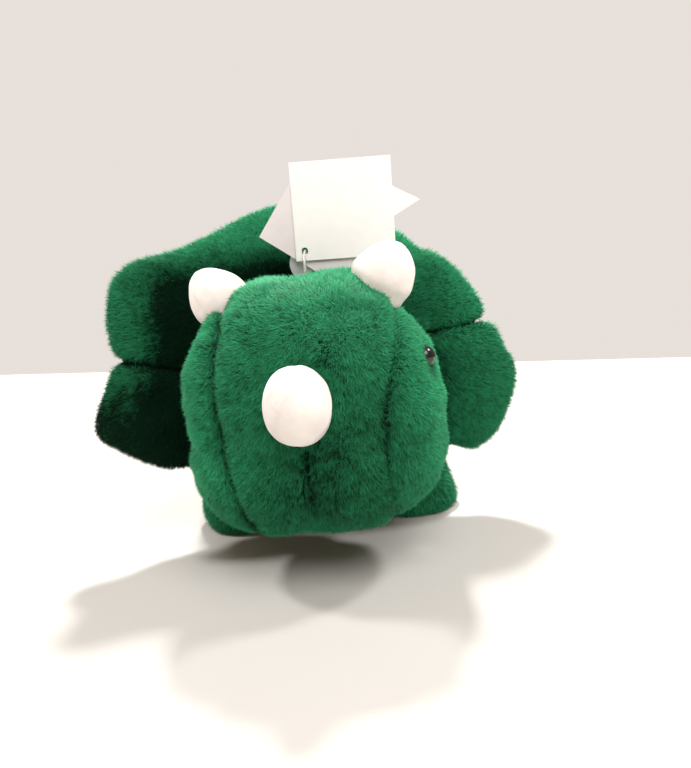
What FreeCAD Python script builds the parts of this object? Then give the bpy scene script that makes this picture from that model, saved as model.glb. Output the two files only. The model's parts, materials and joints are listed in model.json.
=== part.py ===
"""Stuffed triceratops: a plush toy sewn from panels, filled, and hung with swing tags.

Frame: millimetres, +Z up, the toy faces -Y and its left side is +X.  The origin is the centre of
the bounding box, at floor level.  The head rests turned to the toy's right on its stuffed neck.
"""
import FreeCAD, Part

import math
import os

import Sketcher
from FreeCAD import Placement, Rotation, Vector

LEFT = 1
RIGHT = -1
X_AXIS = Vector(1, 0, 0)
Y_AXIS = Vector(0, 1, 0)
Z_AXIS = Vector(0, 0, 1)
FAR = 400.0
PUNCH = 2.5
SOLE_SLAB = 100.0

# rear swing tag: its corners, across and up from the punched hole
REAR_CARD = [(9.0, -4.0), (25.0, 2.0), (62.0, 21.4), (27.0, 41.0), (-10.0, 22.0), (-4.0, -4.0)]

# the collar's shoulder moves in along this direction when the outline is inset
SHOULDER_OUT = (0.6, 0.8)

SIZES = {
    # cloth
    "skin": 2.0,
    "horn_cloth": 1.2,
    "gap": 0.4,
    # head: a rounded block, turned about the neck
    "head_width": 124.0,
    "head_depth": 100.0,
    "head_height": 130.0,
    "head_round": 46.0,
    "head_place_y": -78.0,
    "head_place_z": 78.0,
    "head_turn": -10.0,
    "gusset_width": 70.0,
    # neck ball, the seat that the head turns on
    "neck_radius": 34.0,
    "neck_place_y": -24.0,
    "neck_place_z": 88.0,
    # torso: a rounded block
    "torso_width": 116.0,
    "torso_length": 130.0,
    "torso_height": 94.0,
    "torso_round": 40.0,
    "torso_place_y": 45.0,
    "torso_place_z": 87.0,
    "belly_width": 44.0,
    "belly_top": 62.0,
    # legs: a ball in the torso, and a column that spreads to the foot
    "front_leg_ball": 22.0,
    "front_hip_x": 46.0,
    "front_hip_y": 11.0,
    "front_hip_z": 50.0,
    "front_foot_x": 49.0,
    "front_foot_y": -12.0,
    "rear_leg_ball": 23.0,
    "rear_hip_x": 42.0,
    "rear_hip_y": 80.0,
    "rear_hip_z": 52.0,
    "rear_foot_x": 44.0,
    "rear_foot_y": 86.0,
    "foot_radius": 24.0,
    "sole_radius": 18.0,
    "sole_skin": 2.0,
    "foot_round_share": 0.12,
    "foot_round_in": 1.0,
    "foot_full_share": 0.35,
    "leg_room": 1.0,
    "leg_room_mouth": 16.0,
    "leg_room_deep": 40.0,
    # tail
    "tail_ball": 20.0,
    "tail_place_y": 102.0,
    "tail_place_z": 86.0,
    "tail_length": 49.7,
    "tail_tip": 7.0,
    "tail_drop": 14.0,
    "tail_room": 1.6,
    # frill: a padded collar, scalloped round its edge
    "frill_thick": 12.0,
    "frill_skin": 1.5,
    "frill_root_y": -15.0,
    "frill_side_y": -30.0,
    "frill_bend_near": 44.0,
    "frill_bend_far": 76.0,
    "frill_inner_width": 106.0,
    "frill_arch_base": 92.0,
    "frill_arch_top": 134.0,
    "frill_notch_x": 100.0,
    "frill_notch_z": 106.0,
    "frill_top_z": 180.0,
    "frill_dip_z": 176.0,
    "frill_low_z": 37.0,
    "frill_reach": 117.0,
    "frill_margin": 20.0,
    # the collar's edge, on one half: where its arcs meet, and how far they bow
    "hem_rise": 14.0,
    "hem_bow_out": 12.0,
    "hem_bow_up": 3.0,
    "lobe_x": 84.0,
    "lobe_bow_in": 9.0,
    "lobe_bow_up": 11.0,
    "widest_z": 73.0,
    "side_bow_in": 4.0,
    "side_bow_z": 92.0,
    "upper_bow_x": 99.0,
    "upper_bow_z": 136.0,
    "shoulder_x": 80.0,
    "shoulder_z": 157.0,
    "crest_bow_x": 46.0,
    "crest_bow_z": 169.5,
    "crown_x": 8.0,
    # brow horns
    "brow_horn_base": 17.0,
    "brow_horn_tip": 7.5,
    "brow_horn_long": 38.0,
    "brow_place_x": 34.0,
    "brow_place_y": -76.0,
    "brow_place_z": 118.0,
    "brow_lean_left": 24.0,
    "brow_lean_right": 44.0,
    "brow_forward": 12.0,
    # nose horn
    "nose_horn_base": 19.5,
    "nose_horn_tip": 10.5,
    "nose_horn_long": 37.0,
    "nose_place_y": -116.0,
    "nose_place_z": 86.0,
    "nose_rise": 14.0,
    # eyes, deep in the pile
    "eye_radius": 5.2,
    "eye_well": 6.4,
    "eye_place_x": 53.5,
    "eye_place_y": -90.0,
    "eye_place_z": 101.0,
    "shank_radius": 1.6,
    "shank_long": 14.0,
    "washer_radius": 6.0,
    "washer_thick": 1.2,
    "washer_behind": 2.0,
    # swing tags and their loop
    "card_width": 50.0,
    "card_tall": 48.0,
    "card_thick": 0.5,
    "card_pitch": 0.9,
    "tag_hole": 1.7,
    "front_hole_across": 4.5,
    "front_hole_up": 5.0,
    "front_card_turn": -3.0,
    "middle_card_short": 3.0,
    "middle_hole_across": 24.4,
    "middle_hole_up": 6.3,
    "middle_card_turn": -32.0,
    "middle_card_nip": 8.0,
    "tag_place_y": -48.0,
    "tag_place_z": 153.0,
    "loop_radius": 9.5,
    "loop_wire": 0.6,
    "disc_radius": 9.0,
    "disc_thick": 0.8,
    "disc_hole": 2.0,
    "disc_hole_in": 2.6,
    "disc_hole_low": 0.4,
    "disc_aside": 0.5,
    # sewn-in care label
    "label_width": 14.0,
    "label_tall": 22.0,
    "label_thick": 0.6,
    "label_forward": 12.0,
}

doc = FreeCAD.newDocument("StuffedTriceratops")
sheet = doc.addObject("Spreadsheet::Sheet", "Sizes")
for row, (alias, value) in enumerate(SIZES.items(), start=1):
    sheet.set("A%d" % row, alias)
    sheet.set("B%d" % row, str(value))
    sheet.setAlias("B%d" % row, alias)
doc.recompute()

subparts = []


def size(alias):
    """A driving dimension, read back from the sheet."""
    return float(sheet.get(alias))


def bind(obj, **expressions):
    """Bind properties to the sheet."""
    for name, text in expressions.items():
        obj.setExpression(name, text)


def place(obj, across="0", along="0", up="0"):
    """Bind the three coordinates of an object's Placement."""
    for axis_name, text in zip("xyz", (across, along, up)):
        obj.setExpression("Placement.Base." + axis_name, text)


def keep(obj, label):
    """List a finished sub-part under the name of its file."""
    obj.Label = label
    subparts.append(obj)
    return obj


def origin_plane(body, role):
    """One of a body's own origin planes."""
    return next(item for item in body.Origin.OriginFeatures if item.Role == role)


def sketch_on(body, name, role="XY_Plane"):
    """An empty sketch on one of a body's own origin planes."""
    sketch = body.newObject("Sketcher::SketchObject", name)
    sketch.AttachmentSupport = [(origin_plane(body, role), "")]
    sketch.MapMode = "FlatFace"
    return sketch


def ball(name, radius, across, along, up):
    """A sphere bound to the sheet."""
    obj = doc.addObject("Part::Sphere", name)
    bind(obj, Radius=radius)
    place(obj, across, along, up)
    return obj


def rounded_block(name, width, depth, height, rounding, centre, shrink="0"):
    """A block with every edge rounded, its centre at the given place, pulled in by shrink."""
    body = doc.addObject("PartDesign::Body", name)
    sketch = sketch_on(body, name + "_outline")
    corners = [Vector(-10, -10, 0), Vector(10, -10, 0), Vector(10, 10, 0), Vector(-10, 10, 0)]
    for index, corner in enumerate(corners):
        sketch.addGeometry(Part.LineSegment(corner, corners[(index + 1) % 4]), False)
    for index in range(4):
        sketch.addConstraint(Sketcher.Constraint("Coincident", index, 2, (index + 1) % 4, 1))
    for index, kind in enumerate(("Horizontal", "Vertical", "Horizontal", "Vertical")):
        sketch.addConstraint(Sketcher.Constraint(kind, index))
    sketch.addConstraint(Sketcher.Constraint("Symmetric", 0, 1, 2, 1, -1, 1))
    across = sketch.addConstraint(Sketcher.Constraint("DistanceX", 0, 1, 0, 2, 20.0))
    along = sketch.addConstraint(Sketcher.Constraint("DistanceY", 1, 1, 1, 2, 20.0))
    sketch.setExpression("Constraints[%d]" % across, "%s - 2 * (%s)" % (width, shrink))
    sketch.setExpression("Constraints[%d]" % along, "%s - 2 * (%s)" % (depth, shrink))
    pad = body.newObject("PartDesign::Pad", name + "_pad")
    pad.Profile = sketch
    pad.Midplane = True
    pad.setExpression("Length", "%s - 2 * (%s)" % (height, shrink))
    doc.recompute()
    fillet = body.newObject("PartDesign::Fillet", name + "_round")
    fillet.Base = (pad, ["Edge%d" % (n + 1) for n in range(len(pad.Shape.Edges))])
    fillet.setExpression("Radius", "%s - (%s)" % (rounding, shrink))
    body.Tip = fillet
    place(body, *centre)
    return body


def fuse(name, *objects):
    obj = doc.addObject("Part::MultiFuse", name)
    obj.Shapes = list(objects)
    obj.Refine = False
    return obj


def cut(name, base, tool):
    obj = doc.addObject("Part::Cut", name)
    obj.Base = base
    obj.Tool = tool
    obj.Refine = False
    return obj


def common(name, *objects):
    obj = doc.addObject("Part::MultiCommon", name)
    obj.Shapes = list(objects)
    obj.Refine = False
    return obj


def half_space(name, side, start):
    """A large box on one side of a plane of constant X, from start outwards."""
    obj = doc.addObject("Part::Box", name)
    bind(obj, Length=str(FAR), Width=str(FAR), Height=str(FAR))
    across = start if side == LEFT else "-(%s) - %s" % (start, FAR)
    place(obj, across, str(-FAR / 2), str(-FAR / 2))
    return obj


def revolved(name, profile, placement):
    """A solid of revolution about its own Z: profile is a list of edges from axis to axis."""
    body = doc.addObject("PartDesign::Body", name)
    sketch = sketch_on(body, name + "_profile", "XZ_Plane")
    for edge in profile:
        sketch.addGeometry(edge, False)
    turn = body.newObject("PartDesign::Revolution", name + "_turn")
    turn.Profile = sketch
    turn.ReferenceAxis = (sketch, ["V_Axis"])
    turn.Angle = 360.0
    body.Tip = turn
    body.Placement = placement
    return body


def blunt_cone_profile(base, tip, length):
    """Half section of a cone with a round nose, standing on the plane Z = 0."""
    nose = length - tip
    lean = math.asin((base - tip) / nose)
    touch = Vector(tip * math.cos(lean), nose + tip * math.sin(lean), 0)
    top = Vector(0, length, 0)
    bend = (math.pi / 2 + lean) / 2
    middle = Vector(tip * math.cos(bend), nose + tip * math.sin(bend), 0)
    foot = Vector(base, 0, 0)
    return [
        Part.LineSegment(Vector(0, 0, 0), foot),
        Part.LineSegment(foot, touch),
        Part.Arc(touch, middle, top),
        Part.LineSegment(top, Vector(0, 0, 0)),
    ]


def turned_with_head(obj):
    """The head and all that is sewn to it stand turned about the neck."""
    pivot = Vector(0, size("neck_place_y"), size("neck_place_z"))
    turn = Placement(Vector(0, 0, 0), Rotation(Z_AXIS, size("head_turn")), pivot)
    moved = doc.addObject("Part::Feature", obj.Name + "_turned")
    doc.recompute()
    moved.Shape = obj.Shape
    moved.Placement = turn.multiply(obj.Shape.Placement)
    return moved


# ---------------------------------------------------------------- head

def head_block(name, shrink):
    centre = ("0", "Sizes.head_place_y", "Sizes.head_place_z")
    return rounded_block(name, "Sizes.head_width", "Sizes.head_depth", "Sizes.head_height",
                         "Sizes.head_round", centre, shrink)


def make_eye(side, side_name):
    """A dome with its shank, the washer that locks it, and the well it sits in."""
    across = "%d * Sizes.eye_place_x" % side
    along = "Sizes.eye_place_y"
    up = "Sizes.eye_place_z"
    inward = Rotation(Y_AXIS, -90 * side)
    dome = ball("eye_dome_" + side_name, "Sizes.eye_radius", across, along, up)
    shank = doc.addObject("Part::Cylinder", "eye_shank_" + side_name)
    bind(shank, Radius="Sizes.shank_radius", Height="Sizes.shank_long")
    shank.Placement.Rotation = inward
    place(shank, across, along, up)
    well = doc.addObject("Part::Cylinder", "eye_well_" + side_name)
    bind(well, Radius="Sizes.eye_well", Height="4 * Sizes.eye_radius")
    well.Placement.Rotation = Rotation(Y_AXIS, 90 * side)
    place(well, across, along, up)
    disc = doc.addObject("Part::Cylinder", "eye_disc_" + side_name)
    bind(disc, Radius="Sizes.washer_radius", Height="Sizes.washer_thick")
    disc.Placement.Rotation = inward
    place(disc, "%d * (Sizes.eye_place_x - Sizes.eye_radius - Sizes.washer_behind)" % side,
          along, up)
    eye = fuse("eye_whole_" + side_name, dome, shank)
    washer = cut("eye_washer_whole_" + side_name, disc, shank)
    return eye, washer, well, fuse("eye_space_" + side_name, eye, washer, well)


def horn_pair(name, base, tip, length, placement, surface):
    """A horn of white cloth and its filling, both trimmed to the head's surface."""
    cloth = size("horn_cloth")
    outer = revolved(name + "_outer", blunt_cone_profile(base, tip, length), placement)
    inner = revolved(name + "_inner", blunt_cone_profile(base - cloth, tip - cloth, length - cloth),
                     placement)
    shell = cut(name + "_wall", cut(name + "_hollow", outer, inner), surface)
    filling = cut(name + "_core", inner, surface)
    return shell, filling


def brow_placement(side, lean):
    base = Vector(side * size("brow_place_x"), size("brow_place_y"), size("brow_place_z"))
    outward = Rotation(Y_AXIS, side * size(lean))
    forward = Rotation(X_AXIS, size("brow_forward"))
    return Placement(base, forward.multiply(outward))


def nose_placement():
    base = Vector(0, size("nose_place_y"), size("nose_place_z"))
    return Placement(base, Rotation(X_AXIS, 90 - size("nose_rise")))


def make_head():
    outer = head_block("head_outer", "0")
    core = head_block("head_core", "Sizes.skin")
    socket = ball("neck_socket", "Sizes.neck_radius + Sizes.gap", "0", "Sizes.neck_place_y",
                  "Sizes.neck_place_z")
    eye_left, washer_left, well_left, space_left = make_eye(LEFT, "left")
    eye_right, washer_right, well_right, space_right = make_eye(RIGHT, "right")
    openings = fuse("head_openings", socket, space_left, space_right)
    shell = cut("head_shell", cut("head_wall", outer, core), openings)
    side = "Sizes.gusset_width / 2"
    slab = doc.addObject("Part::Box", "gusset_slab")
    bind(slab, Length="Sizes.gusset_width", Width=str(FAR), Height=str(FAR))
    place(slab, "-Sizes.gusset_width / 2", str(-FAR / 2), str(-FAR / 2))
    pieces = {
        "head_gusset_skin": common("head_gusset", shell, slab),
        "head_cheek_skin_left": common("cheek_left", shell, half_space("beside_left", LEFT, side)),
        "head_cheek_skin_right": common("cheek_right", shell, half_space("beside_right", RIGHT, side)),
        "head_stuffing": cut("head_filling", core, openings),
        "eye_left": eye_left,
        "eye_right": eye_right,
        "eye_washer_left": washer_left,
        "eye_washer_right": washer_right,
    }
    base, tip, length = (size("brow_horn_" + key) for key in ("base", "tip", "long"))
    for horn_side, side_name in ((LEFT, "left"), (RIGHT, "right")):
        shell, filling = horn_pair("brow_horn_" + side_name, base, tip, length,
                                   brow_placement(horn_side, "brow_lean_" + side_name), outer)
        pieces["brow_horn_skin_" + side_name] = shell
        pieces["brow_horn_stuffing_" + side_name] = filling
    base, tip, length = (size("nose_horn_" + key) for key in ("base", "tip", "long"))
    shell, filling = horn_pair("nose_horn", base, tip, length, nose_placement(), outer)
    pieces["nose_horn_skin"] = shell
    pieces["nose_horn_stuffing"] = filling
    for label, piece in pieces.items():
        keep(turned_with_head(piece), label)
    return outer


# ---------------------------------------------------------------- swing tags

def card(name, outline, layer):
    """A flat card with a punched hole: outline points are measured from the hole."""
    front = size("tag_place_y") + layer * size("card_pitch")
    up = size("tag_place_z")
    points = [Vector(across, front, up + rise) for across, rise in outline]
    face = Part.Face(Part.makePolygon(points + points[:1]))
    sheet_solid = face.extrude(Vector(0, size("card_thick"), 0))
    punch = Part.makeCylinder(size("tag_hole"), 2 * PUNCH, Vector(0, front - PUNCH, up), Y_AXIS)
    obj = doc.addObject("Part::Feature", name)
    obj.Shape = sheet_solid.cut(punch)
    return obj


def card_outline(width, tall, hole_across, hole_up, turn, nip=0.0):
    """Corners of a card, turned in its own plane about the punched hole; nip cuts one corner off."""
    corners = [(0, 0), (width - nip, 0), (width, nip), (width, tall), (0, tall)]
    if nip == 0:
        corners.remove((width, nip))
    angle = math.radians(turn)
    outline = []
    for across, rise in corners:
        dx = across - hole_across
        dz = rise - hole_up
        outline.append((dx * math.cos(angle) - dz * math.sin(angle),
                        dx * math.sin(angle) + dz * math.cos(angle)))
    return outline


def make_tags(head_outer):
    wide = size("card_width")
    tall = size("card_tall")
    front = card_outline(wide, tall, size("front_hole_across"), size("front_hole_up"),
                         size("front_card_turn"))
    middle = card_outline(wide, tall - size("middle_card_short"), size("middle_hole_across"),
                          size("middle_hole_up"), size("middle_card_turn"),
                          nip=size("middle_card_nip"))
    for layer, (label, outline) in enumerate((("tag_card_front", front), ("tag_card_middle", middle),
                                              ("tag_card_rear", REAR_CARD))):
        keep(turned_with_head(card(label + "_flat", outline, layer)), label)
    behind = size("tag_place_y") + 3 * size("card_pitch")
    drop = size("disc_radius") - size("disc_hole_in")
    centre = Vector(size("disc_aside"), behind, size("tag_place_z") - drop)
    disc_solid = Part.makeCylinder(size("disc_radius"), size("disc_thick"), centre, Y_AXIS)
    hole_at = Vector(0, behind - PUNCH, size("tag_place_z") - size("disc_hole_low"))
    disc = doc.addObject("Part::Feature", "tag_disc_flat")
    disc.Shape = disc_solid.cut(Part.makeCylinder(size("disc_hole"), 2 * PUNCH, hole_at, Y_AXIS))
    keep(turned_with_head(disc), "tag_disc")
    ring = doc.addObject("Part::Torus", "loop_ring")
    bind(ring, Radius1="Sizes.loop_radius", Radius2="Sizes.loop_wire")
    ring.Placement.Rotation = Rotation(Y_AXIS, 90)
    place(ring, "0", "Sizes.tag_place_y + 1.5 * Sizes.card_pitch",
          "Sizes.tag_place_z - Sizes.loop_radius")
    keep(turned_with_head(cut("loop_above_head", ring, head_outer)), "tag_loop")


# ---------------------------------------------------------------- legs and tail

def leg_body(name, ball_radius, hip, foot, shrink, floor):
    """A ball at the hip and a column that leans and spreads to a rounded foot."""
    hip_point = Vector(*hip)
    foot_wide = size("foot_radius") - shrink
    sole = size("sole_radius") - shrink
    top = ball_radius - shrink
    rings = []
    for share, radius in ((0.0, sole), (size("foot_round_share"), foot_wide - size("foot_round_in")),
                          (size("foot_full_share"), foot_wide), (1.0, top)):
        up = floor + share * (hip[2] - floor)
        lean = up / hip[2]
        centre = Vector(foot[0] + lean * (hip[0] - foot[0]), foot[1] + lean * (hip[1] - foot[1]), up)
        rings.append(Part.Wire(Part.makeCircle(radius, centre, Z_AXIS)))
    column = Part.makeLoft(rings, True, False)
    obj = doc.addObject("Part::Feature", name)
    obj.Shape = column.fuse(Part.makeSphere(top, hip_point))
    return obj


def make_leg(end, side, side_name):
    """Sock of plush, its filling and the sole; returns the room it needs in the torso."""
    name = "leg_%s_%s" % (end, side_name)
    hip = (side * size(end + "_hip_x"), size(end + "_hip_y"), size(end + "_hip_z"))
    foot = (side * size(end + "_foot_x"), size(end + "_foot_y"))
    radius = size(end + "_leg_ball")
    skin = size("skin")
    sole_skin = size("sole_skin")
    outer = leg_body(name + "_outer", radius, hip, foot, 0.0, 0.0)
    core = leg_body(name + "_filled", radius, hip, foot, skin, sole_skin)
    slab = doc.addObject("Part::Box", name + "_sole_slab")
    bind(slab, Length=str(SOLE_SLAB), Width=str(SOLE_SLAB), Height="Sizes.sole_skin")
    place(slab, str(foot[0] - SOLE_SLAB / 2), str(foot[1] - SOLE_SLAB / 2), "0")
    wall = cut(name + "_wall", outer, core)
    keep(cut(name + "_sock", wall, slab), name + "_skin")
    keep(common(name + "_pad", wall, slab), name + "_sole")
    keep(core, name + "_stuffing")
    room = doc.addObject("Part::Feature", name + "_room")
    clear = radius + size("leg_room")
    spread = Part.makeCone(clear + size("leg_room"), clear + size("leg_room_mouth"),
                           size("leg_room_deep"), Vector(*hip), Vector(0, 0, -1))
    room.Shape = Part.makeSphere(clear, Vector(*hip)).fuse(spread)
    return room


def make_tail():
    """A stubby tail: a ball in the torso and a cone that droops to a round tip."""
    length = size("tail_length")
    droop = Rotation(X_AXIS, -90 - size("tail_drop"))
    centre = Vector(0, size("tail_place_y"), size("tail_place_z"))
    shapes = []
    for shrink in (0.0, size("skin")):
        root = size("tail_ball") - shrink
        tip = size("tail_tip") - shrink
        cone = revolved("tail_cone_%d" % round(shrink), blunt_cone_profile(root, tip, length - shrink),
                        Placement(centre, droop))
        knob = doc.addObject("Part::Feature", "tail_knob_%d" % round(shrink))
        knob.Shape = Part.makeSphere(root, centre)
        shapes.append(fuse("tail_form_%d" % round(shrink), cone, knob))
    outer, core = shapes
    keep(cut("tail_wall", outer, core), "tail_skin")
    keep(core, "tail_stuffing")
    return ball("tail_room", "Sizes.tail_ball + Sizes.tail_room", "0", "Sizes.tail_place_y",
                "Sizes.tail_place_z")


# ---------------------------------------------------------------- torso

def make_torso(rooms):
    centre = ("0", "Sizes.torso_place_y", "Sizes.torso_place_z")

    def form(name, shrink):
        block = rounded_block(name + "_block", "Sizes.torso_width", "Sizes.torso_length",
                              "Sizes.torso_height", "Sizes.torso_round", centre, shrink)
        neck = ball(name + "_neck", "Sizes.neck_radius - (%s)" % shrink, "0",
                    "Sizes.neck_place_y", "Sizes.neck_place_z")
        return fuse(name, block, neck)

    outer = form("torso_outer", "0")
    core = form("torso_core", "Sizes.skin")
    room = fuse("torso_rooms", *rooms)
    shell = cut("torso_shell", cut("torso_wall", outer, core), room)
    belly = doc.addObject("Part::Box", "belly_slab")
    bind(belly, Length="Sizes.belly_width", Width=str(FAR), Height="Sizes.belly_top")
    place(belly, "-Sizes.belly_width / 2", str(-FAR / 2), "0")
    flanks = cut("torso_flanks", shell, belly)
    keep(common("torso_belly", shell, belly), "belly_gusset_skin")
    keep(common("torso_left", flanks, half_space("left_half", LEFT, "0")), "body_skin_left")
    keep(common("torso_right", flanks, half_space("right_half", RIGHT, "0")), "body_skin_right")
    keep(cut("torso_filling", core, room), "body_stuffing")
    label = doc.addObject("Part::Box", "label_blank")
    bind(label, Length="Sizes.label_thick", Width="Sizes.label_tall", Height="Sizes.label_width")
    place(label, "Sizes.belly_width / 2",
          "Sizes.torso_place_y + Sizes.torso_length / 2 - Sizes.label_forward",
          "Sizes.belly_top - Sizes.label_width")
    keep(cut("label_outside", label, outer), "care_label")


# ---------------------------------------------------------------- frill

def frill_band(near, far):
    """The curved sheet between two offsets of the collar's middle, as tall as the toy."""
    root = size("frill_root_y")
    side = size("frill_side_y")
    bend_near = size("frill_bend_near")
    bend_far = size("frill_bend_far")
    wide = size("frill_reach") + size("frill_margin")

    def edge(offset):
        points = [Vector(-wide, side + offset, 0), Vector(-bend_far, side + offset, 0),
                  Vector(-bend_near, root + offset, 0), Vector(bend_near, root + offset, 0),
                  Vector(bend_far, side + offset, 0), Vector(wide, side + offset, 0)]
        return points

    ring = edge(near) + edge(far)[::-1]
    face = Part.Face(Part.makePolygon(ring + ring[:1]))
    return face.extrude(Vector(0, 0, FAR))


def frill_fan(inset):
    """The collar's scalloped outline, as a block that runs from front to back."""
    reach = size("frill_reach") - inset
    notch = Vector(size("frill_notch_x") - inset, 0, size("frill_notch_z"))
    low = size("frill_low_z") + inset
    inner = size("frill_inner_width") / 2 + inset
    arch_base = size("frill_arch_base")
    arch_top = size("frill_arch_top") + inset
    top = size("frill_top_z") - inset
    dip = Vector(0, 0, size("frill_dip_z") - inset)
    shoulder_across, shoulder_up = SHOULDER_OUT
    hem = Vector(inner, 0, low + size("hem_rise"))
    hem_bow = Vector(inner + size("hem_bow_out"), 0, low + size("hem_bow_up"))
    lobe_bottom = Vector(size("lobe_x"), 0, low)
    lobe_bow = Vector(reach - size("lobe_bow_in"), 0, low + size("lobe_bow_up"))
    lobe_side = Vector(reach, 0, size("widest_z"))
    side_bow = Vector(reach - size("side_bow_in"), 0, size("side_bow_z"))
    upper_bow = Vector(size("upper_bow_x") - inset, 0, size("upper_bow_z"))
    shoulder = Vector(size("shoulder_x") - shoulder_across * inset, 0,
                      size("shoulder_z") - shoulder_up * inset)
    crest_bow = Vector(size("crest_bow_x"), 0, size("crest_bow_z") - inset)
    crown = Vector(size("crown_x"), 0, top)
    arcs = ((hem, hem_bow, lobe_bottom), (lobe_bottom, lobe_bow, lobe_side),
            (lobe_side, side_bow, notch), (notch, upper_bow, shoulder),
            (shoulder, crest_bow, crown))

    def half(side):
        def at(point):
            return Vector(side * point.x, 0, point.z)

        edges = [Part.Arc(at(start), at(bow), at(end)) for start, bow, end in arcs]
        return edges + [Part.LineSegment(at(crown), dip)]

    left = [edge.toShape() for edge in half(LEFT)]
    right = [edge.toShape() for edge in half(RIGHT)]
    left_foot = Vector(inner, 0, arch_base)
    right_foot = Vector(-inner, 0, arch_base)
    arch = [
        Part.LineSegment(hem, left_foot).toShape(),
        Part.Arc(left_foot, Vector(0, 0, arch_top), right_foot).toShape(),
        Part.LineSegment(right_foot, Vector(-hem.x, 0, hem.z)).toShape(),
    ]
    wire = Part.Wire(Part.__sortEdges__(left + right + arch))
    fan = Part.Face(wire).extrude(Vector(0, FAR, 0))
    fan.translate(Vector(0, -FAR / 2, 0))
    return fan


def make_frill():
    half_thick = size("frill_thick") / 2
    skin = size("frill_skin")
    outer = frill_band(-half_thick, half_thick).common(frill_fan(0.0))
    core = frill_band(-half_thick + skin, half_thick - skin).common(frill_fan(skin))
    wall = outer.cut(core)
    shapes = {
        "frill_front_skin": wall.common(frill_band(-half_thick - 1, 0.0)),
        "frill_back_skin": wall.common(frill_band(0.0, half_thick + 1)),
        "frill_padding": core,
    }
    for label, shape in shapes.items():
        obj = doc.addObject("Part::Feature", label + "_form")
        obj.Shape = shape
        keep(obj, label)


# ---------------------------------------------------------------- assembly and output

def main():
    head_outer = make_head()
    make_tags(head_outer)
    rooms = []
    for end in ("front", "rear"):
        for side, side_name in ((LEFT, "left"), (RIGHT, "right")):
            rooms.append(make_leg(end, side, side_name))
    rooms.append(make_tail())
    make_torso(rooms)
    make_frill()
    doc.recompute()
    for obj in doc.Objects:
        if "Invalid" in obj.State or "Error" in obj.State:
            raise RuntimeError("%s failed: %s" % (obj.Name, obj.State))
    whole = FreeCAD.BoundBox()
    os.makedirs("parts", exist_ok=True)
    for obj in subparts:
        if obj.Shape.isNull() or not obj.Shape.isValid() or obj.Shape.Volume <= 0:
            raise RuntimeError("%s has no valid shape" % obj.Label)
        whole.add(obj.Shape.BoundBox)
    for obj in subparts:
        obj.Shape.exportStep(os.path.join("parts", obj.Label + ".step"))
        print("%-26s solids %d  volume %9.1f" % (obj.Label, len(obj.Shape.Solids), obj.Shape.Volume))
    print("%d sub-parts, X %.2f..%.2f  Y %.2f..%.2f  Z %.2f..%.2f" % (
        len(subparts), whole.XMin, whole.XMax, whole.YMin, whole.YMax, whole.ZMin, whole.ZMax))


main()
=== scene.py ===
"""Stuffed triceratops: forms, pile, horns, eyes and tags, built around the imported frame.

Lengths in this script are millimetres in the row frame, turned into metres where a mesh is made.
Each stuffed part is a closed form, blown out by cloth simulation as its filling does. Each panel of
plush is a piece of real pile on it: flat tapering strands, combed and clumped by seeded noise.
"""

import itertools
import json
import math

import bmesh
import bpy
import numpy as np
from mathutils import Matrix, Vector


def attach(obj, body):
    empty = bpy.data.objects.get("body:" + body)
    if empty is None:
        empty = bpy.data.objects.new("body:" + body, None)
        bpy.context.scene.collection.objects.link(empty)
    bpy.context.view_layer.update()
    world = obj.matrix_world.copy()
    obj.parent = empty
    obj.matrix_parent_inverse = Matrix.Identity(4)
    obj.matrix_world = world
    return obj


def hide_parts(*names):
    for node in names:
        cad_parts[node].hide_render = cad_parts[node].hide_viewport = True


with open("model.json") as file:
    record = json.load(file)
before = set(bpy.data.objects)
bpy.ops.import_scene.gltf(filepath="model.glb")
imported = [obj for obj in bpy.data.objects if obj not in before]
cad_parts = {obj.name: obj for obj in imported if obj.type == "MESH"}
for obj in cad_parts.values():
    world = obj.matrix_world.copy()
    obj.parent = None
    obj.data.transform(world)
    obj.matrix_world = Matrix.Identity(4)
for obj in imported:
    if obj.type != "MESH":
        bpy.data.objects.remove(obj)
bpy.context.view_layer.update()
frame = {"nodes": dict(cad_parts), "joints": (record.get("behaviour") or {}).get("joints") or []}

MM = 0.001
JOINTS = {joint["name"]: joint for joint in frame["joints"]}


# ---------------- places read from the frame

def joint_place(name):
    """Where a joint's axis passes, in millimetres."""
    return np.array(JOINTS[name]["pos_m"]) / MM


def points_of(data):
    """A mesh's vertices, in millimetres."""
    co = np.empty(len(data.vertices) * 3, np.float32)
    data.vertices.foreach_get("co", co)
    return co.reshape(-1, 3).astype(float) / MM


def node_points(name):
    return points_of(frame["nodes"][name].data)


def node_box(*names):
    """Lowest and highest corner of some CAD nodes, in millimetres."""
    points = np.concatenate([node_points(name) for name in names])
    return points.min(0), points.max(0)


NECK = joint_place("neck_turn")
tilt_axis = JOINTS["tag_tilt"]["axis"]
HEAD_TURN = math.atan2(tilt_axis[1], tilt_axis[0])


def turn_about_neck(points, angle):
    """Points turned about the upright line through the neck."""
    c, s = math.cos(angle), math.sin(angle)
    away = np.asarray(points, float) - NECK
    return np.stack([c * away[..., 0] - s * away[..., 1], s * away[..., 0] + c * away[..., 1],
                     away[..., 2]], -1) + NECK


def to_head(points):
    """From the row frame into the head's own frame, where it faces straight along -Y."""
    return turn_about_neck(points, -HEAD_TURN)


def from_head(points):
    return turn_about_neck(points, HEAD_TURN)


# ---------------- small maths

def unit(vectors):
    return vectors / np.maximum(np.linalg.norm(vectors, axis=-1, keepdims=True), 1e-9)


def far_from(points, place):
    return np.linalg.norm(points - place, axis=1)


def ease(t):
    t = np.clip(t, 0, 1)
    return t * t * (3 - 2 * t)


def hump(distance, width):
    """One at no distance, fading over the width."""
    return np.exp(-(distance / width) ** 2)


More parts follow.
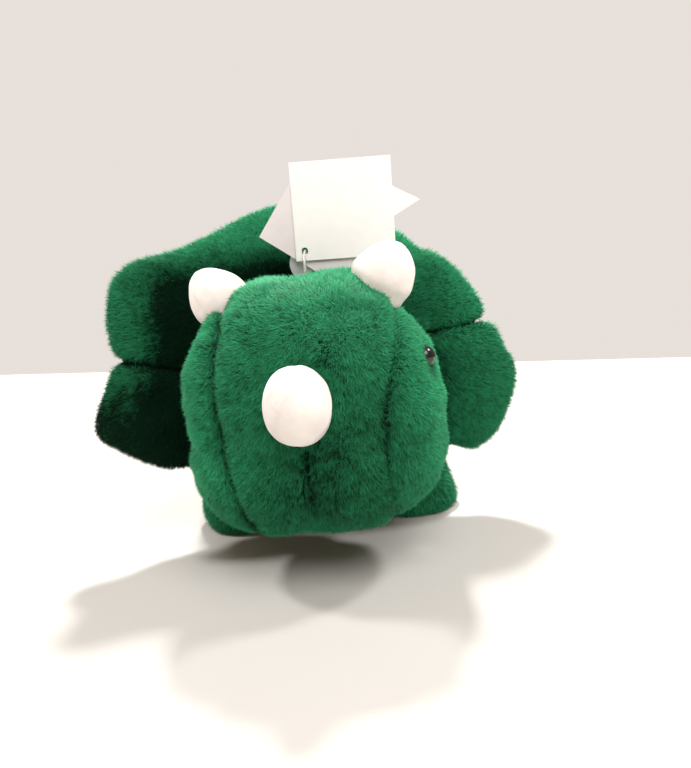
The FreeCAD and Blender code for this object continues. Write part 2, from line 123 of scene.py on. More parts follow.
def waves(points, size, seed, count=14):
    """Smooth noise of about -1..1: sine waves of about the given size in seeded directions."""
    random = np.random.default_rng(seed)
    heading = unit(random.normal(size=(count, 3))) * (2 * math.pi / size)
    heading *= random.uniform(0.6, 1.6, (count, 1))
    phase = random.uniform(0, 2 * math.pi, count)
    return np.sin(points @ heading.T + phase).sum(1) / math.sqrt(count)


def rounded_box(points, centre, half, rounding):
    """Distance to a block with rounded edges."""
    q = np.abs(points - centre) - (half - rounding)
    return np.linalg.norm(np.maximum(q, 0), axis=1) + np.minimum(q.max(1), 0) - rounding


def grid_quads(index):
    """Quads between neighbours of a grid of point numbers."""
    return np.stack([index[:-1, :-1], index[1:, :-1], index[1:, 1:], index[:-1, 1:]], -1).reshape(-1, 4)


def ball_grid(n):
    """Directions and quads of a cube blown up to a sphere, n squares along each edge."""
    steps = np.tan(np.linspace(-1, 1, n + 1) * math.pi / 4)
    a, b = np.meshgrid(steps, steps, indexing="ij")
    quads = grid_quads(np.arange((n + 1) ** 2).reshape(n + 1, n + 1))
    points, faces = [], []
    for axis, sign in itertools.product(range(3), (-1, 1)):
        side = np.empty((n + 1, n + 1, 3))
        side[..., axis] = sign
        side[..., (axis + 1) % 3] = a
        side[..., (axis + 2) % 3] = b * sign
        faces.append(quads + len(points) * (n + 1) ** 2)
        points.append(unit(side).reshape(-1, 3))
    points = np.concatenate(points)
    _, first, back = np.unique(np.round(points, 6), axis=0, return_index=True, return_inverse=True)
    return points[first], back.reshape(-1)[np.concatenate(faces)]


def blown(field, centre, n, far=140.0):
    """A closed form: where a field that is negative inside crosses zero, seen from the centre."""
    directions, faces = ball_grid(n)
    near = np.zeros(len(directions))
    end = np.full(len(directions), far)
    for _ in range(26):
        middle = (near + end) / 2
        inside = field(centre + directions * middle[:, None]) < 0
        near = np.where(inside, middle, near)
        end = np.where(inside, end, middle)
    return centre + directions * near[:, None], faces


def lofted(rings):
    """A closed form through rings of equal count; each end is closed on its own middle."""
    rows, count = rings.shape[:2]
    points = np.concatenate([rings.reshape(-1, 3), rings[0].mean(0)[None], rings[-1].mean(0)[None]])
    start, end = rows * count, rows * count + 1
    index = np.arange(rows * count).reshape(rows, count)
    along = np.roll(index, -1, 1)
    quads = np.stack([index[:-1], along[:-1], along[1:], index[1:]], -1).reshape(-1, 4)
    first = np.stack([np.full(count, start), along[0], index[0], index[0]], -1)
    last = np.stack([np.full(count, end), index[-1], along[-1], along[-1]], -1)
    return points, outward(points, np.concatenate([quads, first, last]))


def outward(points, faces):
    """The same faces, turned over if they face into the form."""
    corner = points[faces]
    inside = (np.einsum("ij,ij->i", corner[:, 0], np.cross(corner[:, 1], corner[:, 2]))
              + np.einsum("ij,ij->i", corner[:, 0], np.cross(corner[:, 2], corner[:, 3]))).sum() < 0
    if not inside:
        return faces
    turned = faces[:, [1, 0, 3, 2]]
    triangle = faces[:, 2] == faces[:, 3]
    turned[triangle] = faces[triangle][:, [1, 0, 2, 2]]
    return turned


def laid_flat(vectors, normal):
    """The vectors without their part along the normals."""
    return vectors - (vectors * normal).sum(1, keepdims=True) * normal


def normals_of(points, faces):
    """Vertex normals of quads; a fan's triangle repeats its last corner."""
    across = np.cross(points[faces[:, 2]] - points[faces[:, 0]], points[faces[:, 3]] - points[faces[:, 1]])
    sums = np.zeros_like(points)
    for corner in range(4):
        np.add.at(sums, faces[:, corner], across)
    return unit(sums)


# ---------------- materials

def new_material(name, color, roughness, **sockets):
    """A node material; the same number all over goes on the shader's own socket."""
    made = bpy.data.materials.new(name)
    made.use_nodes = True
    shader = made.node_tree.nodes["Principled BSDF"]
    shader.inputs["Base Color"].default_value = (*color, 1)
    shader.inputs["Roughness"].default_value = roughness
    for socket, value in sockets.items():
        shader.inputs[socket.replace("_", " ")].default_value = value
    return made, made.node_tree, shader


def node(tree, kind, **values):
    made = tree.nodes.new(kind)
    for key, value in values.items():
        setattr(made, key, value)
    return made


def ramp(tree, fac, stops):
    """A colour ramp fed by a socket: stops are (place, colour)."""
    made = node(tree, "ShaderNodeValToRGB")
    ends = made.color_ramp.elements
    ends[0].position, ends[0].color = stops[0][0], (*stops[0][1], 1)
    ends[1].position, ends[1].color = stops[-1][0], (*stops[-1][1], 1)
    for place, color in stops[1:-1]:
        ends.new(place).color = (*color, 1)
    tree.links.new(fac, made.inputs[0])
    return made.outputs[0]


def noise(tree, scale, detail, stretch=(1, 1, 1)):
    """Noise over the object's own metres: scale is in cycles per metre."""
    where = node(tree, "ShaderNodeTexCoord")
    sized = node(tree, "ShaderNodeMapping")
    sized.inputs["Scale"].default_value = stretch
    made = node(tree, "ShaderNodeTexNoise")
    made.inputs["Scale"].default_value = scale
    made.inputs["Detail"].default_value = detail
    made.inputs["Roughness"].default_value = 0.55
    tree.links.new(where.outputs["Object"], sized.inputs[0])
    tree.links.new(sized.outputs[0], made.inputs["Vector"])
    return made.outputs["Fac"]


def mottle(tree, shader, scale, detail, dark, light):
    """The base colour, drifting between a darker and a lighter tone with the noise."""
    tone = ramp(tree, noise(tree, scale, detail), [(0.3, dark), (0.7, light)])
    tree.links.new(tone, shader.inputs["Base Color"])


def plain_material(name, color, roughness, mottled=None, bumps=(), **sockets):
    """A mottled, bumped material: bumps are (scale, detail, stretch along Z, strength, metres high)."""
    made, tree, shader = new_material(name, color, roughness, **sockets)
    if mottled:
        mottle(tree, shader, *mottled)
    for scale, detail, stretch, strength, high in bumps:
        bump = node(tree, "ShaderNodeBump")
        bump.inputs["Strength"].default_value = strength
        bump.inputs["Distance"].default_value = high
        tree.links.new(noise(tree, scale, detail, (1, 1, stretch)), bump.inputs["Height"])
        if shader.inputs["Normal"].is_linked:
            tree.links.new(shader.inputs["Normal"].links[0].from_socket, bump.inputs["Normal"])
        tree.links.new(bump.outputs[0], shader.inputs["Normal"])
    return made


PILE_UV = "OFBake"


def pile_material():
    """Plush pile: colour from root to tip along V, darkening to the root as painted shade deep in the pile,
    and from one strand to the next along U, where each strand's own tone also carries the panel's painted
    light and shade.
    """
    made, tree, shader = new_material("green_plush_pile", (0.02, 0.25, 0.1), 0.62,
                                      Sheen_Weight=0.16, Sheen_Roughness=0.4,
                                      Sheen_Tint=(0.55, 1.0, 0.75, 1), Specular_IOR_Level=0.06)
    link = tree.links.new
    uv = node(tree, "ShaderNodeUVMap", uv_map=PILE_UV)
    parts = node(tree, "ShaderNodeSeparateXYZ")
    link(uv.outputs[0], parts.inputs[0])
    # both ramps darken towards the root: painted shade deep in the pile
    dark = ramp(tree, parts.outputs["Y"], [(0.0, (0.0005, 0.005, 0.002)), (0.5, (0.003, 0.038, 0.015)),
                                           (1.0, (0.006, 0.085, 0.034))])
    light = ramp(tree, parts.outputs["Y"], [(0.0, (0.001, 0.018, 0.007)), (0.5, (0.019, 0.200, 0.086)),
                                            (1.0, (0.054, 0.520, 0.236))])
    mix = node(tree, "ShaderNodeMix", data_type="RGBA")
    link(parts.outputs["X"], mix.inputs["Factor"])
    link(dark, mix.inputs["A"])
    link(light, mix.inputs["B"])
    # painted deep shade: the lowest tones are darkened almost to black
    deep = ramp(tree, parts.outputs["X"], [(0.0, (0.08, 0.08, 0.08)), (0.07, (1.0, 1.0, 1.0))])
    both = node(tree, "ShaderNodeMix", data_type="RGBA", blend_type="MULTIPLY")
    both.inputs["Factor"].default_value = 1.0
    link(mix.outputs["Result"], both.inputs["A"])
    link(deep, both.inputs["B"])
    link(both.outputs["Result"], shader.inputs["Base Color"])
    return made


PILE = pile_material()
# the knitted ground that the pile stands in, with its rows of loops: its own green, painted far darker as
# shade deep in the pile
GROUND = plain_material("green_plush_ground", (0.001, 0.02, 0.009), 0.9,
                        (700, 3.0, (0.0005, 0.008, 0.004), (0.0015, 0.030, 0.013)),
                        [(1600, 3.0, 0.4, 0.6, 0.0006)], Specular_IOR_Level=0.05)
# white velour: a very short nap, cloudy with the way it lies
VELOUR = plain_material("white_velour", (0.86, 0.83, 0.79), 0.85,
                        (90, 4.0, (0.80, 0.735, 0.70), (0.88, 0.835, 0.80)),
                        [(2600, 2.0, 1, 0.35, 0.0004), (220, 2.0, 1, 0.25, 0.0008)],
                        Sheen_Weight=0.35, Sheen_Roughness=0.5, Specular_IOR_Level=0.2)
# coated white card, and uncoated card of the faintest pink
CARD = plain_material("tag_card", (0.92, 0.92, 0.91), 0.45,
                      (160, 5.0, (0.93, 0.925, 0.915), (0.96, 0.957, 0.95)),
                      [(1200, 4.0, 1, 0.12, 0.0002)], Coat_Weight=0.15)
PINK = plain_material("tag_card_pink", (0.76, 0.70, 0.70), 0.6,
                      (160, 5.0, (0.75, 0.70, 0.72), (0.80, 0.755, 0.77)), [(1200, 4.0, 1, 0.12, 0.0002)])
# glossy black plastic
EYE = plain_material("black_eye", (0.005, 0.007, 0.005), 0.2,
                     (300, 2.0, (0.003, 0.004, 0.003), (0.007, 0.009, 0.007)),
                     Coat_Weight=0.25, Coat_Roughness=0.08)
# moulded white plastic, never seen from outside
WASHER = plain_material("eye_washer", (0.8, 0.8, 0.8), 0.5, bumps=[(900, 3.0, 1, 0.1, 0.0002)])
# the clear plastic of the tags' loop and disc
PLASTIC = plain_material("clear_plastic", (0.85, 0.87, 0.87), 0.18, bumps=[(260, 2.0, 1, 0.15, 0.0004)],
                         Transmission_Weight=0.55, IOR=1.46)
# white woven ribbon of the care label
SATIN = plain_material("label_satin", (0.88, 0.88, 0.87), 0.4,
                       (500, 3.0, (0.83, 0.83, 0.82), (0.90, 0.90, 0.89)),
                       [(2400, 3.0, 0.15, 0.4, 0.0002)], Sheen_Weight=0.2)


# ---------------- pieces

def in_scene(name, data):
    made = bpy.data.objects.new(name, data)
    bpy.context.scene.collection.objects.link(made)
    return made


def mesh_object(name, points, faces, material):
    """A smooth mesh from arrays in millimetres; a face that repeats its last corner is a triangle."""
    data = bpy.data.meshes.new(name)
    outlines = [face[:3] if face[2] == face[3] else face for face in faces.tolist()]
    data.from_pydata((points * MM).tolist(), [], outlines)
    data.validate()
    data.materials.append(material)
    data.polygons.foreach_set("use_smooth", [True] * len(data.polygons))
    return in_scene(name, data)


FILL_FRAMES = 20
FILL_PRESSURE = 4.0
COVER_MASS = 0.2
COVER_STIFFNESS = 12
COVER_GIVE = 0.03


def filled_out(points, faces, most):
    """The sewn cover blown out by its filling: cloth under pressure, moved by a few millimetres at most."""
    cover = mesh_object("cover_in_the_making", points, faces, GROUND)
    cloth = cover.modifiers.new("filling", "CLOTH")
    cloth.settings.quality = 4
    cloth.settings.mass = COVER_MASS
    cloth.settings.tension_stiffness = cloth.settings.compression_stiffness = COVER_STIFFNESS
    cloth.settings.use_pressure = True
    cloth.settings.uniform_pressure_force = FILL_PRESSURE
    cloth.settings.shrink_min = -COVER_GIVE
    cloth.settings.effector_weights.gravity = 0
    cloth.collision_settings.use_collision = False
    cloth.point_cache.frame_end = FILL_FRAMES
    scene = bpy.context.scene
    for step in range(1, FILL_FRAMES + 1):
        scene.frame_set(step)
    moved = points_of(cover.evaluated_get(bpy.context.evaluated_depsgraph_get()).data) - points
    scene.frame_set(1)
    data = cover.data
    bpy.data.objects.remove(cover)
    bpy.data.meshes.remove(data)
    far = np.linalg.norm(moved, axis=1, keepdims=True)
    return points + moved * np.minimum(far, most) / np.maximum(far, 1e-9)


def piece(made, body, nodes):
    """The object rides on a body and stands for some CAD nodes."""
    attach(made, body)
    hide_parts(*nodes)
    return made


def stuffed(name, points, faces, body, nodes, look=GROUND):
    """A closed, stuffed form."""
    made = piece(mesh_object(name, points, faces, look), body, nodes)
    return made


def nearest_knot(points, pitch, seed):
    """The nearest of points scattered one to a cell of the given pitch, and its own random number."""
    cell = np.floor(points / pitch)
    best = np.full(len(points), np.inf)
    knot = np.zeros_like(points)
    own = np.zeros(len(points))
    mixers = np.random.default_rng(seed).uniform(20, 90, (4, 3))
    for offset in itertools.product((-1, 0, 1), repeat=3):
        there = cell + offset
        spread = np.sin(there @ mixers.T) * 9871.37
        spread -= np.floor(spread)
        place = (there + spread[:, :3]) * pitch
        distance = ((place - points) ** 2).sum(1)
        closer = distance < best
        best[closer] = distance[closer]
        knot[closer] = place[closer]
        own[closer] = spread[closer, 3]
    return knot, own


# one strand, and how it differs from the next
STRAND_WIDE = 0.42
STRAND_SHORT, STRAND_LONG = 0.72, 1.12
STRAND_THIN, STRAND_THICK = 0.75, 1.25
ROOT_SUNK = 0.6
LOWEST = 0.3
# the comb's slow swirl and each strand's own stray from it
SWIRL, SWIRL_SIZE = 0.22, 30
STRAY = 0.38
RISE_DRIFT, RISE_DRIFT_SIZE, RISE_OWN = 0.14, 22, 0.12
# neighbours whose tips draw together, and by how far
CLUMP, GATHER = 2.0, 0.8
# tone: of a clump, of a strand, and slow drifts over the panel
TONE_CLUMP, TONE_OWN = 0.28, 0.10
TONE_DRIFTS = ((0.05, 40, 12), (0.03, 9, 13))
# the share of its own facing, and of chance, in a strand's shown normal
SHOWN_OWN, SHOWN_STRAY = 0.35, 0.12
MOST_STRANDS = 66000


def pile(name, points, faces, chosen, comb, body, node_name, seed, per_mm2, long, rise=0.6,
         length_at=None, rise_at=None, per_at=None, painted_light_at=None):
    """A panel of plush: strands rooted on the chosen faces of a form, leaning along the comb."""
    random = np.random.default_rng(seed)
    normals = normals_of(points, faces)
    triangles = np.concatenate([faces[:, [0, 1, 2]], faces[:, [0, 2, 3]]])
    middles = points[triangles].mean(1)
    kept = chosen(middles, unit(normals[triangles].mean(1)), np.tile(np.arange(len(faces)), 2))
    triangles, middles = triangles[kept], middles[kept]
    edge_a = points[triangles[:, 1]] - points[triangles[:, 0]]
    edge_b = points[triangles[:, 2]] - points[triangles[:, 0]]
    area = np.linalg.norm(np.cross(edge_a, edge_b), axis=1) / 2
    if per_at is not None:
        area = area * per_at(middles)
    count = min(int(area.sum() * per_mm2), MOST_STRANDS)
    pick = np.searchsorted(np.cumsum(area), random.uniform(0, area.sum(), count))
    pick = np.minimum(pick, len(area) - 1)
    u, v = random.uniform(size=(2, count, 1))
    flip = u + v > 1
    u, v = np.where(flip, 1 - u, u), np.where(flip, 1 - v, v)
    corners = triangles[pick]
    root = points[corners[:, 0]] + u * edge_a[pick] + v * edge_b[pick]
    normal = unit((1 - u - v) * normals[corners[:, 0]] + u * normals[corners[:, 1]]
                  + v * normals[corners[:, 2]])
    lie = comb(root)
    lie = lie + SWIRL * np.stack([waves(root, SWIRL_SIZE, seed + k) for k in range(3)], -1)
    lie = lie + random.normal(0, STRAY, (count, 3))
    lie = unit(laid_flat(lie, normal))
    length = long * random.uniform(STRAND_SHORT, STRAND_LONG, count)
    if length_at is not None:
        length *= length_at(root)
    stand = rise + RISE_DRIFT * waves(root, RISE_DRIFT_SIZE, seed + 5) + random.normal(0, RISE_OWN, count)
    if rise_at is not None:
        stand = stand + rise_at(root)
    stand = np.clip(stand, 0.2, 0.95)
    along = np.sqrt(1 - stand ** 2)
    length, stand, along = length[:, None], stand[:, None], along[:, None]
    knot, own = nearest_knot(root, CLUMP, seed + 9)
    pull = laid_flat(knot - root, normal)
    tip = root + length * (stand * normal + along * lie) + GATHER * pull
    bend = root + length * 0.5 * ((0.35 + 0.65 * stand) * normal + 0.62 * along * lie) + 0.3 * GATHER * pull
    root = root - ROOT_SUNK * normal
    across = unit(np.cross(tip - root, normal + 0.35 * random.normal(size=(count, 3))))
    looks = (np.cross(across, bend - root) * normal).sum(1, keepdims=True)
    across *= np.where(looks < 0, -1, 1)
    half = STRAND_WIDE / 2 * random.uniform(STRAND_THIN, STRAND_THICK, (count, 1))
    strand = np.stack([root - across * half, root + across * half,
                       bend + across * half * 0.85, bend - across * half * 0.85, tip], 1)
    strand[..., 2] = np.maximum(strand[..., 2], LOWEST)
    tone = 0.5 + TONE_CLUMP * (own - 0.5) + random.normal(0, TONE_OWN, count)
    for much, size, step in TONE_DRIFTS:
        tone = tone + much * waves(root, size, seed + step)
    # the panel's painted light and shade, added to the strand's tone
    if painted_light_at is not None:
        tone = tone + painted_light_at(root)
    facing = np.cross(across, tip - root)
    facing *= np.sign((facing * normal).sum(1, keepdims=True))
    shown = unit(normal + SHOWN_OWN * unit(facing) + random.normal(0, SHOWN_STRAY, (count, 3)))
    return strands(name, strand, np.clip(tone, 0.015, 0.97), shown, body, node_name)


def strands(name, strand, tone, shown, body, node_name):
    """One mesh of flat tapering strands: five points, a quad and a triangle each.

    The normals follow the cloth under the strand, as a round fibre's average does.
    """
    count = len(strand)
    data = bpy.data.meshes.new(name)
    data.vertices.add(count * 5)
    data.vertices.foreach_set("co", (strand * MM).astype(np.float32).ravel())
    corner = np.array([0, 1, 2, 3, 3, 2, 4])
    loops = (np.arange(count)[:, None] * 5 + corner).astype(np.int32)
    data.loops.add(count * 7)
    data.loops.foreach_set("vertex_index", loops.ravel())
    data.polygons.add(count * 2)
    starts = np.arange(count)[:, None] * 7 + np.array([0, 4])
    data.polygons.foreach_set("loop_start", starts.astype(np.int32).ravel())
    data.polygons.foreach_set("use_smooth", np.ones(count * 2, bool))
    data.update(calc_edges=True)
    layer = data.uv_layers.new(name=PILE_UV)
    side = np.array([-1, 1, 1, -1, -1, 1, 0]) * 0.004
    level = np.array([0, 0, 0.5, 0.5, 0.5, 0.5, 1]) * 0.98 + 0.01
    uv = np.empty((count, 7, 2), np.float32)
    uv[..., 0] = tone[:, None] + side
    uv[..., 1] = level
    layer.data.foreach_set("uv", uv.ravel())
    data.materials.append(PILE)
    data.normals_split_custom_set_from_vertices(np.repeat(shown, 5, 0))
    return piece(in_scene(name, data), body, [node_name])


def everywhere(middles, normals, index):
    return np.ones(len(middles), bool)


def combed(way):
    """A comb that lies the same way all over."""
    return lambda points: np.tile(way, (len(points), 1))


# ---------------- camera, light and floor

AIM = np.array([7.4, -74.0, 88.1])
CAMERA_AWAY = 361.3
AZIMUTH, ELEVATION, ROLL = (math.radians(a) for a in (-7.1, 10.0, 4.8))
LENS = 38.97

camera_data = bpy.data.cameras.new("camera")
camera_data.sensor_width = 36.0
camera_data.sensor_fit = "HORIZONTAL"
camera_data.lens = LENS
camera_data.clip_start = 0.01
camera = in_scene("camera", camera_data)
bpy.context.scene.camera = camera
back = Vector((math.sin(AZIMUTH) * math.cos(ELEVATION), -math.cos(AZIMUTH) * math.cos(ELEVATION),
               math.sin(ELEVATION)))
level = Vector((math.cos(AZIMUTH), math.sin(AZIMUTH), 0))
upright = back.cross(level)
right = level * math.cos(ROLL) - upright * math.sin(ROLL)
above = upright * math.cos(ROLL) + level * math.sin(ROLL)
camera.matrix_world = Matrix(((right.x, above.x, back.x, 0), (right.y, above.y, back.y, 0),
                              (right.z, above.z, back.z, 0), (0, 0, 0, 1)))
camera.location = Vector(AIM * MM) + back * CAMERA_AWAY * MM

bpy.context.scene.view_settings.view_transform = "Standard"


def area_light(name, place, target, wide, power, color):
    data = bpy.data.lights.new(name, "AREA")
    data.size = wide
    data.energy = power
    data.color = color
    made = in_scene(name, data)
    made.location = place
    made.rotation_euler = (Vector(place) - Vector(target)).to_track_quat("Z", "Y").to_euler()


CEILING_UP = 1.5
LIT_PLACE = Vector((0, -0.07, 0.05))
# lamps in the ceiling, by their way across and along from straight above, per metre of height
for lamp, across, along, wide, power in (("lamp_behind", 0.10, 0.68, 0.20, 43),
                                         ("lamp_left", -0.80, 0.32, 0.22, 23),
                                         ("lamp_right", 0.80, 0.10, 0.22, 19)):
    area_light(lamp, LIT_PLACE + Vector((across, along, 1)) * CEILING_UP, LIT_PLACE, wide, power,
               (1.0, 0.985, 0.96))
area_light("room_front", (0.2, -1.3, 1.6), (0, -0.05, 0.08), 1.2, 35, (1.0, 0.985, 0.965))

# the camera sees a plain wall, and the room lights the toy more weakly and warmly
WALL = (0.806, 0.745, 0.701)
ROOM_GLOW, ROOM_STRENGTH = (1.0, 0.79, 0.61), 0.34
world = bpy.data.worlds.new("room")
bpy.context.scene.world = world
world.use_nodes = True
sky = world.node_tree
shown = sky.nodes["Background"]
shown.inputs[0].default_value = (*WALL, 1)
shown.inputs[1].default_value = 1.0
lighting = node(sky, "ShaderNodeBackground")
lighting.inputs[0].default_value = (*ROOM_GLOW, 1)
lighting.inputs[1].default_value = ROOM_STRENGTH
rays = node(sky, "ShaderNodeLightPath")
blend = node(sky, "ShaderNodeMixShader")
sky.links.new(rays.outputs["Is Camera Ray"], blend.inputs[0])
sky.links.new(lighting.outputs[0], blend.inputs[1])
sky.links.new(shown.outputs[0], blend.inputs[2])
sky.links.new(blend.outputs[0], sky.nodes["World Output"].inputs[0])

# the floor ends at a line far behind the toy, and the wall begins
FLOOR_EDGE = ((-2200.0, 1785.0), (1400.0, -145.0))
FLOOR_NEAR = -2200.0
floor_points = np.array([(FLOOR_EDGE[0][0], FLOOR_NEAR, 0), (FLOOR_EDGE[1][0], FLOOR_NEAR, 0),
                         (*FLOOR_EDGE[1], 0), (*FLOOR_EDGE[0], 0)], float)
floor_look, floor_tree, floor_shader = new_material("floor_white", (0.55, 0.54, 0.525), 0.6)
mottle(floor_tree, floor_shader, 6, 3.0, (0.54, 0.524, 0.504), (0.56, 0.547, 0.53))
floor = mesh_object("floor", floor_points, np.array([[0, 1, 2, 3]]), floor_look)


# ---------------- head

DETAIL = 64
# how far a form starts inside its CAD skin: room for the pile, and for the filling's swelling
PILE_ROOM = 4.2
SWOLLEN = 1.3
SUNK = PILE_ROOM + SWOLLEN

HEAD_PANELS = ("head_gusset_skin", "head_cheek_skin_left", "head_cheek_skin_right")
head_points = np.concatenate([to_head(node_points(name)) for name in HEAD_PANELS])
HEAD_LOW, HEAD_HIGH = head_points.min(0), head_points.max(0)
HEAD_MIDDLE = (HEAD_LOW + HEAD_HIGH) / 2
HEAD_HALF = (HEAD_HIGH - HEAD_LOW) / 2
HEAD_ROUND = 46.0
EYES = {side: to_head(node_points("eye_" + side)).mean(0) for side in ("left", "right")}
# the hollows and swellings round the eyes: whose, the way from the eye, how deep, how wide
EYE_HOLLOWS = (("left", (0, 0, 0), 2.6, 9), ("left", (1, -9, 0), 3.0, 7), ("left", (3, 13, 0), -1.4, 9),
               ("right", (0, 0, 0), 1.0, 9), ("right", (2, -13, 0), -1.4, 10))

# where the gusset's seams run, as X over Z, on the toy's right and left
SEAM_Z = np.array([14, 39, 44, 57, 65, 80, 92, 108, 116, 131, 144], float)
SEAM_RIGHT = -np.array([22, 27, 28.5, 31.5, 33.5, 34.5, 35, 34.5, 33, 31.5, 31])
SEAM_LEFT = np.array([32, 33, 32, 31, 31, 31.5, 33, 36, 37, 38, 37])


def seam_x(z, side):
    return np.interp(z, SEAM_Z, SEAM_LEFT if side > 0 else SEAM_RIGHT)


def seam_gap(points):
    """Signed way from the nearer gusset seam: negative on the gusset."""
    left = points[:, 0] - seam_x(points[:, 2], 1)
    right = seam_x(points[:, 2], -1) - points[:, 0]
    return np.maximum(left, right)


def chin_groove(up):
    """How deep the short seam under the nose horn is, by height above the head's middle."""
    return ease((-up - 2) / 8) * ease((up + 38) / 18)


def head_field(points):
    """A rounded block, swollen at the cheeks and drawn in at the temples, chin, seams and eyes."""
    distance = rounded_box(points, HEAD_MIDDLE, HEAD_HALF - SUNK, HEAD_ROUND - SUNK)
    x, y, z = (points - HEAD_MIDDLE).T
    side = ease((np.abs(x) - 30) / 25)
    swell = 2.0 * side * hump(z + 8, 26) - np.where(x > 0, 4.0, 5.5) * side * ease((z - 16) / 30)
    swell -= np.where(x > 0, 2.6 * ease((z - 2) / 20), 1.8 * ease((z + 30) / 20)) * side
    swell -= 7.0 * ease((-z - 34) / 20) + 3.0 * ease((np.abs(x) - 22) / 26) * ease((-z - 14) / 34)
    gap = seam_gap(points)
    groove = np.where(x > 0, 1.8, 4.2)
    swell -= groove * hump(gap, 2.9) * (1 - 0.9 * ease((-z - 26) / 18))
    swell -= 3.0 * ease(gap / 2) * np.exp(-np.maximum(gap, 0) / 9) * ease((z + 46) / 20)
    swell -= 2.6 * ease((-x - 40) / 18)
    in_front = ease((-y - 10) / 20)
    swell -= 2.6 * hump(x, 2.2) * in_front * chin_groove(z)
    for side, way, deep, width in EYE_HOLLOWS:
        swell -= deep * hump(far_from(points, EYES[side] + way), width)
    swell += 1.1 * waves(points, 46, 3) + 0.5 * waves(points, 19, 4)
    return distance - swell


head_form, head_faces = blown(head_field, HEAD_MIDDLE, DETAIL)
head_form = filled_out(head_form, head_faces, 1.6)
head_in_place = from_head(head_form)
stuffed("head_form", head_in_place, head_faces, "head", ["head_stuffing"])

# where the pile parts, and how far up the gusset's two meshes meet
FOREHEAD = HEAD_MIDDLE + np.array([20, -44, 48])
GUSSET_CUT = 6.0


def head_comb(points):
    """Down and out from the forehead, and apart at the short seam under the nose horn."""
    away = to_head(points) - FOREHEAD
    lie = away / (14 + np.linalg.norm(away, axis=1, keepdims=True)) + np.array([0, 0.1, -0.08])
    x, y, z = (to_head(points) - HEAD_MIDDLE).T
    lie[:, 0] += np.sign(x) * 1.0 * hump(x, 5) * ease((-y - 10) / 20) * chin_groove(z)
    return from_head(lie + NECK) - NECK


def head_length(points):
    """Short in the seams and under the chin, long round the eyes."""
    near = to_head(points)
    x, _, z = (near - HEAD_MIDDLE).T
    eye = sum(hump(far_from(near, place), 6) for place in EYES.values())
    under = ease((-z - 40) / 15)
    chin = hump(x, 2.0) * chin_groove(z)
    seam = hump(seam_gap(near) - 1.2, 2.0)
    return (1 - 0.5 * seam) * (1 + 0.15 * eye) * (1 - 0.3 * under) * (1 - 0.65 * chin)


def head_painted_light(points):
    """Painted shade down in the seams, in the short groove under the nose horn, round the eyes, over the
    front of the face and where the head turns in underneath; painted light on the cheeks.
    """
    near = to_head(points)
    x, y, z = (near - HEAD_MIDDLE).T
    chin = hump(x, 1.5) * chin_groove(z)
    eye = sum(hump(far_from(near, place + (0, -4, 0)), 7) for place in EYES.values())
    low = ease((-z - 10) / 40)
    front = hump(x - 10, 42) * hump(z + 14, 46) * ease((-y - 10) / 30)
    gap = seam_gap(near)
    cheek = ease((gap - 2) / 8) * ease((z + 44) / 30)
    faint = np.where(near[:, 0] > 0, 0.15 + 0.6 * hump(near[:, 2] - 86, 14), 1.0)
    seam = hump(gap - 1.0, 2.4) * faint
    # painted light on the cheeks; painted shade in the seams, chin groove, eye recesses, low down and at
    # the front
    return 0.14 + 0.12 * cheek - 0.75 * seam - 0.6 * chin - 0.9 * eye - 0.12 * low - 0.44 * front


def head_rise(points):
    """The pile lies flatter where it parts, on the forehead."""
    return -0.15 * hump(far_from(to_head(points), FOREHEAD), 30)


def on_gusset(upper):
    """The gusset's pile is made as two meshes, one above and one below the nose horn's middle."""
    def chosen(middles, normals, index):
        near = to_head(middles)
        return (seam_gap(near) < 0) & ((near[:, 2] > HEAD_MIDDLE[2] + GUSSET_CUT) == upper)
    return chosen


def on_cheek(side):
    def chosen(middles, normals, index):
        near = to_head(middles)
        return (seam_gap(near) >= 0) & (near[:, 0] * side > 0)
    return chosen


def neck_hidden(points):
    """Few strands where the head lies against the frill and neck."""
    near = to_head(points) - HEAD_MIDDLE
    return np.where(near[:, 1] > 44, 0.25, 1.0)


for name, chosen, panel, seed in (("head_gusset_pile_upper", on_gusset(True), "head_gusset_skin", 101),
                                  ("head_gusset_pile_lower", on_gusset(False), "head_gusset_skin", 104),
                                  ("head_cheek_pile_left", on_cheek(1), "head_cheek_skin_left", 102),
                                  ("head_cheek_pile_right", on_cheek(-1), "head_cheek_skin_right", 103)):
    pile(name, head_in_place, head_faces, chosen, head_comb, "head", panel, seed,
         per_mm2=6.4, long=5.2, length_at=head_length, rise_at=head_rise, per_at=neck_hidden,
         painted_light_at=head_painted_light)


# ---------------- torso

torso_low, torso_high = node_box("body_skin_left", "body_skin_right", "belly_gusset_skin")
TAIL = joint_place("tail_wag")
TORSO_HALF = np.array([(torso_high[0] - torso_low[0]) / 2, 65.0, (torso_high[2] - torso_low[2]) / 2])
TORSO_MIDDLE = np.array([0.0, torso_high[1] - 65.0, (torso_high[2] + torso_low[2]) / 2])
TORSO_ROUND = 40.0
NECK_BALL = 34.0
BELLY_HALF = 22.0
BELLY_TOP = 62.0


